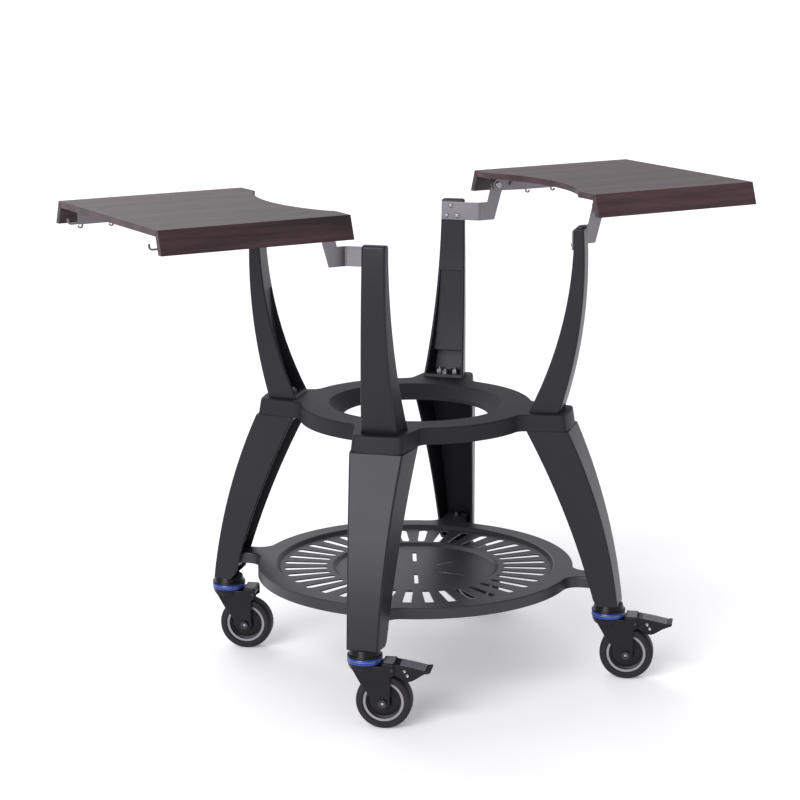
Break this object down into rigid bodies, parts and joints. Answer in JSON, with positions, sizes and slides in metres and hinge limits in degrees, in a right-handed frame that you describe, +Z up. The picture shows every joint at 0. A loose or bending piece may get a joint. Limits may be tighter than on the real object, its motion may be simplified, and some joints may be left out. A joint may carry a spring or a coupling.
{
  "type": "kamado grill stand with folding side shelves",
  "caption": "Rolling stand for a round ceramic grill, with a support ring between curved legs and arms, a slotted lower shelf and folding wooden side shelves.",
  "frame": {"origin": "on the floor, under the centre of the support ring", "axes": "+X from the left side shelf to the right one, +Y from front to back, +Z up"},
  "size_m": [1.199, 0.6303, 0.872],
  "materials": {
    "frame_black": "satin powder coat with a fine texture",
    "caster_black": "satin black coated steel",
    "wood_dark": "dark stained wood, satin oiled",
    "steel_brushed": "brushed stainless steel",
    "fastener_zinc": "bright zinc plated",
    "seal_blue": "smooth moulded plastic",
    "tyre_rubber": "matte rubber",
    "hub_plastic": "moulded nylon with a lighter rim"
  },
  "bodies": {
    "frame": {"support_ring": "frame_black", "bottom_shelf": "frame_black", "arm_front_left": "frame_black", "arm_front_right": "frame_black", "arm_rear_left": "frame_black", "arm_rear_right": "frame_black", "leg_front_left": "frame_black", "leg_front_right": "frame_black", "leg_rear_left": "frame_black", "leg_rear_right": "frame_black", "arm_covers": "frame_black", "arm_bolts": "fastener_zinc", "shelf_bolts": "fastener_zinc", "kingpins": "fastener_zinc", "bracket_screws": "fastener_zinc", "caster_collars": "caster_black", "bracket_front_left": "steel_brushed", "bracket_front_right": "steel_brushed", "bracket_rear_left": "steel_brushed", "bracket_rear_right": "steel_brushed"},
    "swivel_front_left": {"fork_front_left": "caster_black", "seal_front_left": "seal_blue", "axle_front_left": "fastener_zinc"},
    "wheel_front_left": {"hub_front_left": "hub_plastic", "tyre_front_left": "tyre_rubber"},
    "brake_front_left": {"pedal_front_left": "caster_black"},
    "swivel_front_right": {"fork_front_right": "caster_black", "seal_front_right": "seal_blue", "axle_front_right": "fastener_zinc"},
    "wheel_front_right": {"hub_front_right": "hub_plastic", "tyre_front_right": "tyre_rubber"},
    "brake_front_right": {"pedal_front_right": "caster_black"},
    "swivel_rear_left": {"fork_rear_left": "caster_black", "seal_rear_left": "seal_blue", "axle_rear_left": "fastener_zinc"},
    "wheel_rear_left": {"hub_rear_left": "hub_plastic", "tyre_rear_left": "tyre_rubber"},
    "swivel_rear_right": {"fork_rear_right": "caster_black", "seal_rear_right": "seal_blue", "axle_rear_right": "fastener_zinc"},
    "wheel_rear_right": {"hub_rear_right": "hub_plastic", "tyre_rear_right": "tyre_rubber"},
    "side_shelf_left": {"board_left": "wood_dark", "apron_front_left": "wood_dark", "apron_rear_left": "wood_dark", "hanger_front_left": "steel_brushed", "hanger_rear_left": "steel_brushed", "board_screws_left": "fastener_zinc", "hinge_pins_left": "fastener_zinc"},
    "side_shelf_right": {"board_right": "wood_dark", "apron_front_right": "wood_dark", "apron_rear_right": "wood_dark", "hanger_front_right": "steel_brushed", "hanger_rear_right": "steel_brushed", "board_screws_right": "fastener_zinc", "hinge_pins_right": "fastener_zinc"}
  },
  "joints": [
    {"name": "front_left_swivel", "type": "hinge", "parent": "frame", "child": "swivel_front_left", "pos_m": [-0.25385, -0.25385, 0.1148], "axis": [0, 0, 1], "continuous": true},
    {"name": "front_left_wheel_spin", "type": "hinge", "parent": "swivel_front_left", "child": "wheel_front_left", "pos_m": [-0.22781, -0.27571, 0.0485], "axis": [0.6428, 0.766, 0], "continuous": true},
    {"name": "front_left_brake_pedal", "type": "hinge", "parent": "swivel_front_left", "child": "brake_front_left", "pos_m": [-0.21593, -0.28567, 0.1078], "axis": [0.6428, 0.766, 0], "range_deg": [0, 12]},
    {"name": "front_right_swivel", "type": "hinge", "parent": "frame", "child": "swivel_front_right", "pos_m": [0.25385, -0.25385, 0.1148], "axis": [0, 0, 1], "continuous": true},
    {"name": "front_right_wheel_spin", "type": "hinge", "parent": "swivel_front_right", "child": "wheel_front_right", "pos_m": [0.2799, -0.27571, 0.0485], "axis": [0.6428, 0.766, 0], "continuous": true},
    {"name": "front_right_brake_pedal", "type": "hinge", "parent": "swivel_front_right", "child": "brake_front_right", "pos_m": [0.29177, -0.28567, 0.1078], "axis": [0.6428, 0.766, 0], "range_deg": [0, 12]},
    {"name": "rear_left_swivel", "type": "hinge", "parent": "frame", "child": "swivel_rear_left", "pos_m": [-0.25385, 0.25385, 0.1148], "axis": [0, 0, 1], "continuous": true},
    {"name": "rear_left_wheel_spin", "type": "hinge", "parent": "swivel_rear_left", "child": "wheel_rear_left", "pos_m": [-0.22781, 0.232, 0.0485], "axis": [0.6428, 0.766, 0], "continuous": true},
    {"name": "rear_right_swivel", "type": "hinge", "parent": "frame", "child": "swivel_rear_right", "pos_m": [0.25385, 0.25385, 0.1148], "axis": [0, 0, 1], "continuous": true},
    {"name": "rear_right_wheel_spin", "type": "hinge", "parent": "swivel_rear_right", "child": "wheel_rear_right", "pos_m": [0.2799, 0.232, 0.0485], "axis": [0.6428, 0.766, 0], "continuous": true},
    {"name": "left_shelf_fold", "type": "hinge", "parent": "frame", "child": "side_shelf_left", "pos_m": [-0.2775, 0, 0.8464], "axis": [0, -1, 0], "range_deg": [0, 90]},
    {"name": "right_shelf_fold", "type": "hinge", "parent": "frame", "child": "side_shelf_right", "pos_m": [0.2775, 0, 0.8464], "axis": [0, 1, 0], "range_deg": [0, 90]}
  ]
}
